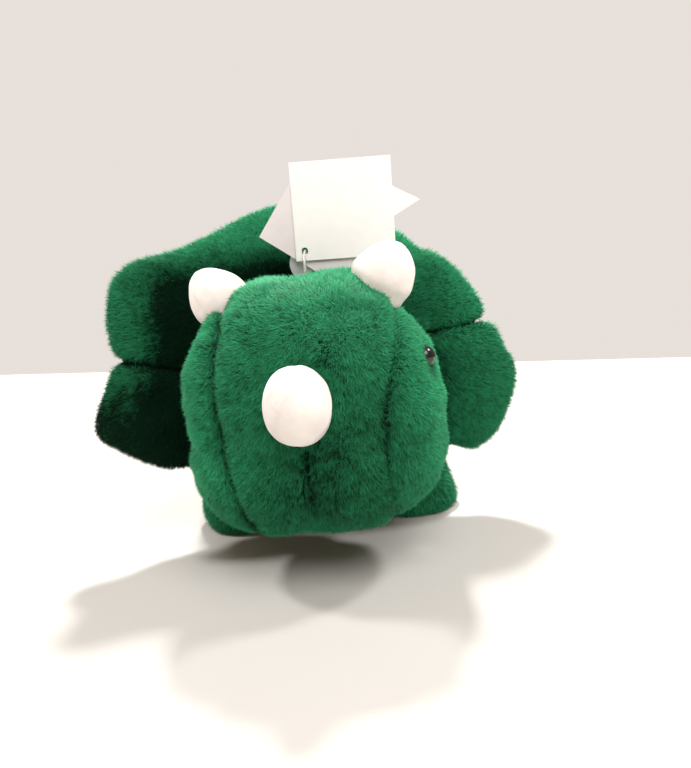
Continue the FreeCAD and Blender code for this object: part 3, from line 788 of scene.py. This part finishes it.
def torso_field(points):
    """A rounded block run into the neck's ball, drawn in along the back and belly seams."""
    block = rounded_box(points, TORSO_MIDDLE, TORSO_HALF - SUNK, TORSO_ROUND - SUNK)
    neck = far_from(points, NECK) - (NECK_BALL - 2.0)
    soft = 9.0
    share = np.clip(0.5 + 0.5 * (neck - block) / soft, 0, 1)
    both = neck + (block - neck) * share - soft * share * (1 - share)
    x, _, z = (points - TORSO_MIDDLE).T
    swell = 1.5 * hump(z + 14, 30) - 2.5 * ease((z - 20) / 24) * ease((np.abs(x) - 15) / 30)
    swell -= 2.0 * hump(x, 3.0) * ease((z - 5) / 15)
    swell -= 2.0 * hump(np.abs(x) - BELLY_HALF, 3.0) * ease((-z - 22) / 8)
    swell += 1.2 * waves(points, 52, 13) + 0.5 * waves(points, 21, 14)
    return both - swell


torso_form, torso_faces = blown(torso_field, TORSO_MIDDLE + np.array([0, -25, 2]), DETAIL)
torso_form = filled_out(torso_form, torso_faces, 1.6)
stuffed("torso_form", torso_form, torso_faces, "torso", ["body_stuffing"])


def torso_comb(points):
    """Back and down, and a little apart along the back."""
    x = points[:, 0]
    return np.stack([0.15 * np.sign(x), np.full(len(x), 0.8), np.full(len(x), -0.55)], -1)


def on_belly(middles, normals, index):
    return (np.abs(middles[:, 0]) < BELLY_HALF) & (middles[:, 2] < BELLY_TOP)


def on_flank(side):
    def chosen(middles, normals, index):
        return ~on_belly(middles, normals, index) & (middles[:, 0] * side >= 0)
    return chosen


def torso_length(points):
    """Shorter along the back seam, and pressed short in the neck's seat."""
    seam = hump(points[:, 0], 3.0) * (points[:, 2] > TORSO_MIDDLE[2])
    return (1 - 0.2 * seam) * (1 - 0.55 * ease((-12 - points[:, 1]) / 10))


for name, chosen, panel, seed, per in (
        ("body_pile_left", on_flank(1), "body_skin_left", 111, 3.6),
        ("body_pile_right", on_flank(-1), "body_skin_right", 112, 3.6),
        ("belly_pile", on_belly, "belly_gusset_skin", 113, 2.4)):
    pile(name, torso_form, torso_faces, chosen, torso_comb, "torso", panel, seed,
         per_mm2=per, long=6.4, length_at=torso_length)


# ---------------- frill

FRILL_ROOT = joint_place("frill_flex")[1]
FRILL_FORWARD = 15.0
FRILL_BEND = (56.0, 108.0)
FRILL_HALF_THICK = 4.8

# the collar's edge on the backing cloth, as (across, up) from the lower hem to the crown
EDGE_RIGHT = [(57, 47), (64, 41), (78, 45), (92, 51), (106, 60), (115, 68), (116, 75), (111, 86), (106, 97),
              (102, 105), (103, 114), (103, 127), (100, 141), (96, 147), (88, 152), (76, 155), (60, 159),
              (33, 169), (16, 174), (0, 175)]
EDGE_LEFT = [(57, 45), (64, 40), (73, 39), (82, 38), (89, 42), (96, 50), (100, 60), (104, 72), (104, 82),
             (100, 91), (96, 101), (90, 107), (89, 116), (84, 125), (78, 134), (70, 142), (60, 148),
             (46, 158), (24, 168), (0, 175)]
INNER = [(55, 50), (53, 54), (53, 58), (53, 62), (53, 66), (53, 70), (53, 75), (53, 80), (53, 85),
         (52, 90), (51, 96), (50, 101), (48, 107), (45, 112), (41, 117), (36, 121), (30, 126),
         (20, 130), (10, 133), (0, 134)]
# the key points where the quilted creases run, and the height that the pile fans out from
NOTCH_RIGHT, NOTCH_LEFT = 9, 11
NECK_UP = 95


def through(keys, steps):
    """A smooth line through key points, with the given steps between each two."""
    keys = np.array(keys, float)
    ahead = np.concatenate([keys[:1] * 2 - keys[1:2], keys, keys[-1:] * 2 - keys[-2:-1]])
    t = np.linspace(0, 1, steps, endpoint=False)[:, None]
    line = []
    for k in range(1, len(ahead) - 2):
        a, b, c, d = ahead[k - 1:k + 3]
        line.append(b + 0.5 * t * (c - a + t * (2 * a - 5 * b + 4 * c - d + t * (3 * (b - c) + d - a))))
    return np.concatenate([*line, keys[-1:]])


STEPS = 7


def frill_middle(across):
    """How far back the collar's middle sheet stands."""
    bent = ease((np.abs(across) - FRILL_BEND[0]) / (FRILL_BEND[1] - FRILL_BEND[0]))
    return FRILL_ROOT - FRILL_FORWARD * bent


def frill_half(side, edge, notch, cut):
    """One side's inner and outer line, and how thick it is along them: thin at the quilted crease."""
    outer = through(edge, STEPS)
    inner = through(INNER, STEPS)
    station = np.arange(len(outer)) / STEPS
    pinch = 1 - 0.8 * hump(station - notch, 0.42)
    outer = outer - (outer - inner) * (cut * hump(station - notch, 0.32))[:, None]
    return inner * (side, 1), outer * (side, 1), pinch


inner_r, outer_r, pinch_r = frill_half(-1, EDGE_RIGHT, NOTCH_RIGHT, 0.02)
inner_l, outer_l, pinch_l = frill_half(1, EDGE_LEFT, NOTCH_LEFT, 0.08)
inner = np.concatenate([inner_r, inner_l[::-1][1:]])
outer = np.concatenate([outer_r, outer_l[::-1][1:]])
pinch = np.concatenate([pinch_r, pinch_l[::-1][1:]])
ROUND_COUNT = 44
turn = np.linspace(0, 2 * math.pi, ROUND_COUNT, endpoint=False)
across_share = 0.5 - 0.5 * np.cos(turn)
thickness = np.sign(np.sin(turn)) * np.abs(np.sin(turn)) ** 0.55
rings = np.empty((len(inner), ROUND_COUNT, 3))
flat = inner[:, None] + (outer - inner)[:, None] * across_share[None, :, None]
station = np.arange(len(inner))
ends = ease(np.minimum(station, station[::-1]) / (2.0 * STEPS) + 0.25)
sheet = np.concatenate([flat, 0 * flat[..., :1]], -1)
puff = 1 + 0.12 * waves(sheet.reshape(-1, 3), 40, 21).reshape(flat.shape[:2])
half_thick = FRILL_HALF_THICK * thickness * (pinch * ends)[:, None] * puff
rings[..., [0, 2]] = flat
rings[..., 1] = frill_middle(flat[..., 0]) - half_thick
frill_form, frill_faces = lofted(rings)
frill_form = filled_out(frill_form, frill_faces, 1.0)
# which faces are on the front cloth: ring by ring, then the fans that close the two ends
FRILL_SIDE = np.tile(np.arange(ROUND_COUNT) < ROUND_COUNT // 2, len(inner) + 1)
stuffed("frill_form", frill_form, frill_faces, "frill", ["frill_padding"])


def frill_comb(points):
    """Out towards the rim, and a little down."""
    x, _, z = points.T
    out = unit(np.stack([x, 0 * x, z - NECK_UP], -1))
    return out + np.array([0, 0, -0.25])


def on_frill(front, side):
    def chosen(middles, normals, index):
        return (FRILL_SIDE[index] == front) & (middles[:, 0] * side >= 0)
    return chosen


CREASES = [(np.multiply(INNER[NOTCH_RIGHT], (-1, 1)), np.multiply(EDGE_RIGHT[NOTCH_RIGHT], (-1, 1))),
           (np.array(INNER[NOTCH_LEFT]), np.array(EDGE_LEFT[NOTCH_LEFT]))]


def from_crease(points):
    """The distance across to the nearer quilted crease."""
    flat_place = points[:, [0, 2]]
    nearest = np.full(len(points), 99.0)
    for begin, end in CREASES:
        line = end - begin
        share = np.clip((flat_place - begin) @ line / (line @ line), 0, 1)
        nearest = np.minimum(nearest, far_from(flat_place, begin + share[:, None] * line))
    return nearest


def frill_length(points):
    """Short in the creases, and where the lower lobes hang close over the front legs."""
    x, y, z = points.T
    over_legs = ease((66 - z) / 16) * ease((84 - np.abs(x)) / 10) * ease((y - frill_middle(x) + 5) / 4)
    return (1 - 0.72 * hump(from_crease(points), 3.2)) * (1 - 0.5 * over_legs)


def frill_painted_light(points):
    """Painted shade in the creases and low down beside the head, mostly on the front cloth; painted light
    high on the toy's left and along the crown.
    """
    x, y, z = points.T
    beside = np.where(x < 0, hump(np.maximum(-x - 72, 0), 15), 0.5 * hump(np.maximum(x - 62, 0), 12))
    beside = beside * ease((160 - z) / 30)
    front = y < frill_middle(x)
    lit = 0.06 + 0.4 * ease((x - 20) / 30) * ease((z - 84) / 24) + 0.3 * ease((z - 148) / 14)
    shade = 1.0 * beside + 0.75 * ease((114 - z) / 44) * ease(-x / 20)
    return lit - 1.3 * hump(from_crease(points), 2.6) - shade * np.where(front, 1.0, 0.2)


for name, front, side, panel, seed, per in (
        ("frill_front_pile_left", True, 1, "frill_front_skin", 121, 5.6),
        ("frill_front_pile_right", True, -1, "frill_front_skin", 123, 5.6),
        ("frill_back_pile_left", False, 1, "frill_back_skin", 122, 4.0),
        ("frill_back_pile_right", False, -1, "frill_back_skin", 124, 4.0)):
    pile(name, frill_form, frill_faces, on_frill(front, side), frill_comb, "frill", panel, seed,
         per_mm2=per, long=5.8, length_at=frill_length, painted_light_at=frill_painted_light)


# ---------------- legs and tail

def leg_rings(hip, foot, hip_radius, foot_radius, sole_radius, count=48):
    """From the flat sole up to the round top inside the torso."""
    rows = [(1.2, 2.0), (1.2, sole_radius * 0.6), (1.2, sole_radius - 3), (2.2, sole_radius),
            (5.0, foot_radius - 3.4), (9.0, foot_radius - 2.2), (14, foot_radius - 2.0),
            (20, foot_radius - 3.6), (27, foot_radius - 5.4), (34, hip_radius - 4.2),
            (42, hip_radius - 3.8), (hip[2], hip_radius - 3.4)]
    for angle in np.radians([20, 40, 60, 75, 86]):
        rows.append((hip[2] + (hip_radius - 3.2) * math.sin(angle), (hip_radius - 3.2) * math.cos(angle)))
    turns = -np.linspace(0, 2 * math.pi, count, endpoint=False)
    rings = []
    for up, radius in rows:
        share = min(up / hip[2], 1.0) ** 0.65
        centre = foot + (hip - foot) * share
        rings.append(np.stack([centre[0] + radius * np.cos(turns), centre[1] + radius * np.sin(turns),
                               np.full(count, up)], -1))
    return np.array(rings)[:, ::-1]


LEG_COMB = (0, 0.25, -0.9)
SOLE_COMB = (0.0, 1.0, 0.0)
FOOT_RADIUS, SOLE_RADIUS = 26.0, 19.5
SOLE_FACING = -0.75
FRONT_FOOT_SHIFT = {"left": (3.0, -2.0, 0.0), "right": (3.0, 6.0, 0.0)}
for index, (end, side) in enumerate(itertools.product(("front", "rear"), ("left", "right"))):
    name = "leg_%s_%s" % (end, side)
    hip = joint_place("leg_swing_%s_%s" % (end, side))
    sole_low, sole_high = node_box(name + "_sole")
    skin_high = node_box(name + "_skin")[1]
    foot = np.array([(sole_low[0] + sole_high[0]) / 2, (sole_low[1] + sole_high[1]) / 2, 0.0])
    if end == "front":
        foot += FRONT_FOOT_SHIFT[side]
    hip_radius = skin_high[2] - hip[2]
    leg_form, leg_faces = lofted(leg_rings(hip, foot, hip_radius, FOOT_RADIUS, SOLE_RADIUS))
    leg_normals = normals_of(leg_form, leg_faces)
    above_sole = ease((leg_form[:, 2] - 2) / 4)
    rippled = 0.7 * above_sole * waves(leg_form, 24, 31 + index) - 0.7 * above_sole
    leg_form = leg_form + leg_normals * rippled[:, None]
    leg_form = leg_form + (filled_out(leg_form, leg_faces, 1.2) - leg_form) * above_sole[:, None]
    stuffed(name + "_form", leg_form, leg_faces, name, [name + "_stuffing"])

    def on_sock(middles, normals, index):
        return normals[:, 2] > SOLE_FACING

    def on_sole(middles, normals, index):
        return (normals[:, 2] <= SOLE_FACING) & (middles[:, 2] < 4)

    pile(name + "_pile", leg_form, leg_faces, on_sock, combed(LEG_COMB), name, name + "_skin", 131 + index,
         per_mm2=3.6, long=5.6, rise=0.55)
    pile(name + "_sole_pile", leg_form, leg_faces, on_sole, combed(SOLE_COMB), name, name + "_sole",
         141 + index, per_mm2=1.6, long=3.0, rise=0.3)

tail_cloud = node_points("tail_skin")
TAIL_TIP = tail_cloud[tail_cloud[:, 1].argmax()]
TAIL_RADIUS = tail_cloud[:, 0].max()
tail_way = unit(TAIL_TIP - TAIL)
tail_long = np.linalg.norm(TAIL_TIP - TAIL)
side_way = np.array([1.0, 0, 0])
up_way = np.cross(side_way, tail_way)
# rings along the tail, as (how far from the joint, radius)
tail_rows = [(-TAIL_RADIUS + 4, 4.0), (-TAIL_RADIUS + 8, 11.0), (-6, 15.4), (2, 16.6)]
tail_rows += [(2 + (tail_long - 16) * t, 16.6 - 8.6 * t ** 1.15) for t in (0.2, 0.4, 0.6, 0.8, 1.0)]
tail_rows += [(tail_long - 10, 6.4), (tail_long - 7, 4.4), (tail_long - 5, 2.0)]
turns = np.linspace(0, 2 * math.pi, 40, endpoint=False)
tail_rings = np.array([TAIL + tail_way * far + radius * (np.cos(turns)[:, None] * side_way
                                                         + np.sin(turns)[:, None] * up_way)
                       for far, radius in tail_rows])[:, ::-1]
tail_form, tail_faces = lofted(tail_rings)
tail_form = filled_out(tail_form, tail_faces, 1.2)
stuffed("tail_form", tail_form, tail_faces, "tail", ["tail_stuffing"])
pile("tail_pile", tail_form, tail_faces, everywhere, combed(tail_way + (0, 0, -0.2)), "tail",
     "tail_skin", 151, per_mm2=4.0, long=5.8)


# ---------------- horns

def horn(name, nodes, root_in, size, bluntness, tip_shift, base_shift, seam_turn, seed):
    """A horn of velour: a stuffed cone with a round nose, pinched where it is sewn to the head."""
    cloud = np.concatenate([to_head(node_points(item)) for item in nodes])
    tip = cloud[far_from(cloud, HEAD_MIDDLE).argmax()] + tip_shift
    low = cloud[rounded_box(cloud, HEAD_MIDDLE, HEAD_HALF, HEAD_ROUND) < 0.6].mean(0)
    up = (cloud - low) @ unit(tip - low)
    base_radius = far_from(cloud, low + up[:, None] * unit(tip - low))[np.abs(up) < 3].mean()
    low = low + base_shift
    long = np.linalg.norm(tip - low)
    way = (tip - low) / long
    aside = unit(np.cross(way, (0.0, 0.0, 1.0) if abs(way[2]) < 0.6 else (0.0, 1.0, 0.0)))
    over = np.cross(way, aside)
    power, root = bluntness
    far = np.concatenate([[-root_in, -root_in / 2], long * np.sin(np.linspace(0, math.pi / 2, 18))[:-1],
                          [long * 0.9995]])
    share = np.clip(far / long, 0, 1)
    sewn_in = (1 - 0.10 * hump(far, 2.5)) * np.where(far < 0, 0.9, 1)
    wide = base_radius * (1 - share ** power) ** root * sewn_in
    around = np.linspace(0, 2 * math.pi, 56, endpoint=False)
    seam = 0.45 * hump((around - seam_turn + math.pi) % (2 * math.pi) - math.pi, 0.10)
    reach = np.maximum(wide[:, None] - seam * (wide[:, None] > 4), 0.05)
    rings = (low + way * far[:, None, None] + reach[..., None] * size[0] * np.cos(around)[:, None] * aside
             + reach[..., None] * size[1] * np.sin(around)[:, None] * over)
    points, faces = lofted(rings)
    normals = normals_of(points, faces)
    rippled = 0.22 * waves(points, 15, seed) + 0.08 * waves(points, 6, seed + 1)
    rippled = rippled * ease(((points - low) @ way) / 6) * ease((tip - points) @ way / 4)
    points = filled_out(points + normals * rippled[:, None], faces, 1.0)
    made = stuffed(name, from_head(points), faces, "head", nodes, VELOUR)
    soft = made.modifiers.new("round", "SUBSURF")
    soft.levels = soft.render_levels = 1


horn("brow_horn_left", ["brow_horn_skin_left", "brow_horn_stuffing_left"],
     root_in=7.0, size=(1.53, 1.40), bluntness=(2.1, 0.56),
     tip_shift=(-4.0, 0.0, 1.0), base_shift=(-7.0, 0.0, 0.0), seam_turn=2.2, seed=61)
horn("brow_horn_right", ["brow_horn_skin_right", "brow_horn_stuffing_right"],
     root_in=7.0, size=(1.38, 1.32), bluntness=(2.0, 0.56),
     tip_shift=(12.0, 0.0, 2.0), base_shift=(10.0, 0.0, -1.5), seam_turn=0.9, seed=63)
horn("nose_horn", ["nose_horn_skin", "nose_horn_stuffing"],
     root_in=8.0, size=(1.0, 1.18), bluntness=(1.9, 0.55),
     tip_shift=(-2.5, 0.0, 5.0), base_shift=(-2.5, 0.0, 0.0), seam_turn=-1.6, seed=65)


# ---------------- eyes, tags and label

for name, look in (("eye_left", EYE), ("eye_right", EYE), ("eye_washer_left", WASHER),
                   ("eye_washer_right", WASHER), ("tag_disc", PLASTIC), ("tag_loop", PLASTIC)):
    data = frame["nodes"][name].data
    data.materials.clear()
    data.materials.append(look)
    data.polygons.foreach_set("use_smooth", [name != "tag_disc"] * len(data.polygons))

HOLE = to_head(joint_place("tag_tilt"))


def outline_of(points):
    """Corners of the convex outline of flat points, counter-clockwise."""
    flat_points = sorted(set(map(tuple, np.round(points, 3))))

    def half(order):
        chain = []
        for point in order:
            while len(chain) > 1:
                (ax, az), (bx, bz) = chain[-2:]
                if (bx - ax) * (point[1] - az) - (bz - az) * (point[0] - ax) > 0.05:
                    break
                chain.pop()
            chain.append(point)
        return chain[:-1]

    return half(flat_points) + half(flat_points[::-1])


def swing_card(node_name, look, curl, twist, size=1.0, pitch=2.5):
    """A card cut to the node's outline, punched, and bent a little."""
    cloud = to_head(node_points(node_name))
    front = cloud[:, 1].min()
    thick = cloud[:, 1].max() - front
    corners = outline_of(cloud[:, [0, 2]])
    hole = far_from(cloud[:, [0, 2]], HOLE[[0, 2]]).min()
    mesh = bmesh.new()
    mesh.faces.new([mesh.verts.new((x, 0, z)) for x, z in corners])
    low, high = cloud.min(0), cloud.max(0)
    for way, begin, end in ((Vector((1, 0, 0)), low[0], high[0]), (Vector((0, 0, 1)), low[2], high[2])):
        for place in np.arange(math.floor(begin / pitch) * pitch, end, pitch):
            bmesh.ops.bisect_plane(mesh, geom=mesh.verts[:] + mesh.edges[:] + mesh.faces[:],
                                   plane_co=way * place, plane_no=way)
    centre = Vector((HOLE[0], 0, HOLE[2]))
    punched = [face for face in mesh.faces
               if (face.calc_center_median() - centre).length < hole + pitch * 0.55]
    rim = {vert for face in punched for vert in face.verts}
    bmesh.ops.delete(mesh, geom=punched, context="FACES")
    for vert in rim:
        if vert.is_valid:
            away = vert.co - centre
            vert.co = centre + away.normalized() * max(hole, away.length * 0.55)
    c, s = size * math.cos(math.radians(twist)), size * math.sin(math.radians(twist))
    for vert in mesh.verts:
        x, z = vert.co.x - HOLE[0], vert.co.z - HOLE[2]
        dog_ear = max(0.0, (low[2] + 14 - vert.co.z) / 14)
        bent = curl * ((x / 50) ** 2 - 0.6 * dog_ear ** 2)
        vert.co = Vector((HOLE[0] + c * x - s * z, front + bent, HOLE[2] + s * x + c * z))
    data = bpy.data.meshes.new(node_name + "_bent")
    mesh.to_mesh(data)
    mesh.free()
    co = np.array([v.co for v in data.vertices])
    data.vertices.foreach_set("co", (from_head(co) * MM).astype(np.float32).ravel())
    data.materials.append(look)
    made = in_scene(node_name + "_bent", data)
    shell = made.modifiers.new("thickness", "SOLIDIFY")
    shell.thickness = thick * MM
    shell.offset = -1 if data.polygons[0].normal.y < 0 else 1
    piece(made, "tags", [node_name])


swing_card("tag_card_front", CARD, 1.2, 2.5)
swing_card("tag_card_middle", PINK, 0.8, -3.5, 0.95)
swing_card("tag_card_rear", CARD, 0.6, 0.0, 0.955)

# the care label: a ribbon hung from the belly seam, a little wavy
label_low, label_high = node_box("care_label")
label_wide = label_high[2] - label_low[2]
label_long = label_high[1] - label_low[1]
rows = np.linspace(0, 1, 14)
columns = np.linspace(0, 1, 9)
label_points = np.array([((label_low[0] + label_high[0]) / 2 + 0.8 * math.sin(3.0 * a) * a,
                          label_low[1] + label_long * a, label_low[2] + label_wide * b)
                         for a in rows for b in columns])
label_faces = grid_quads(np.arange(len(label_points)).reshape(len(rows), len(columns)))
label = mesh_object("care_label_ribbon", label_points, label_faces, SATIN)
label_shell = label.modifiers.new("thickness", "SOLIDIFY")
label_shell.thickness = 0.25 * MM
piece(label, "torso", ["care_label"])
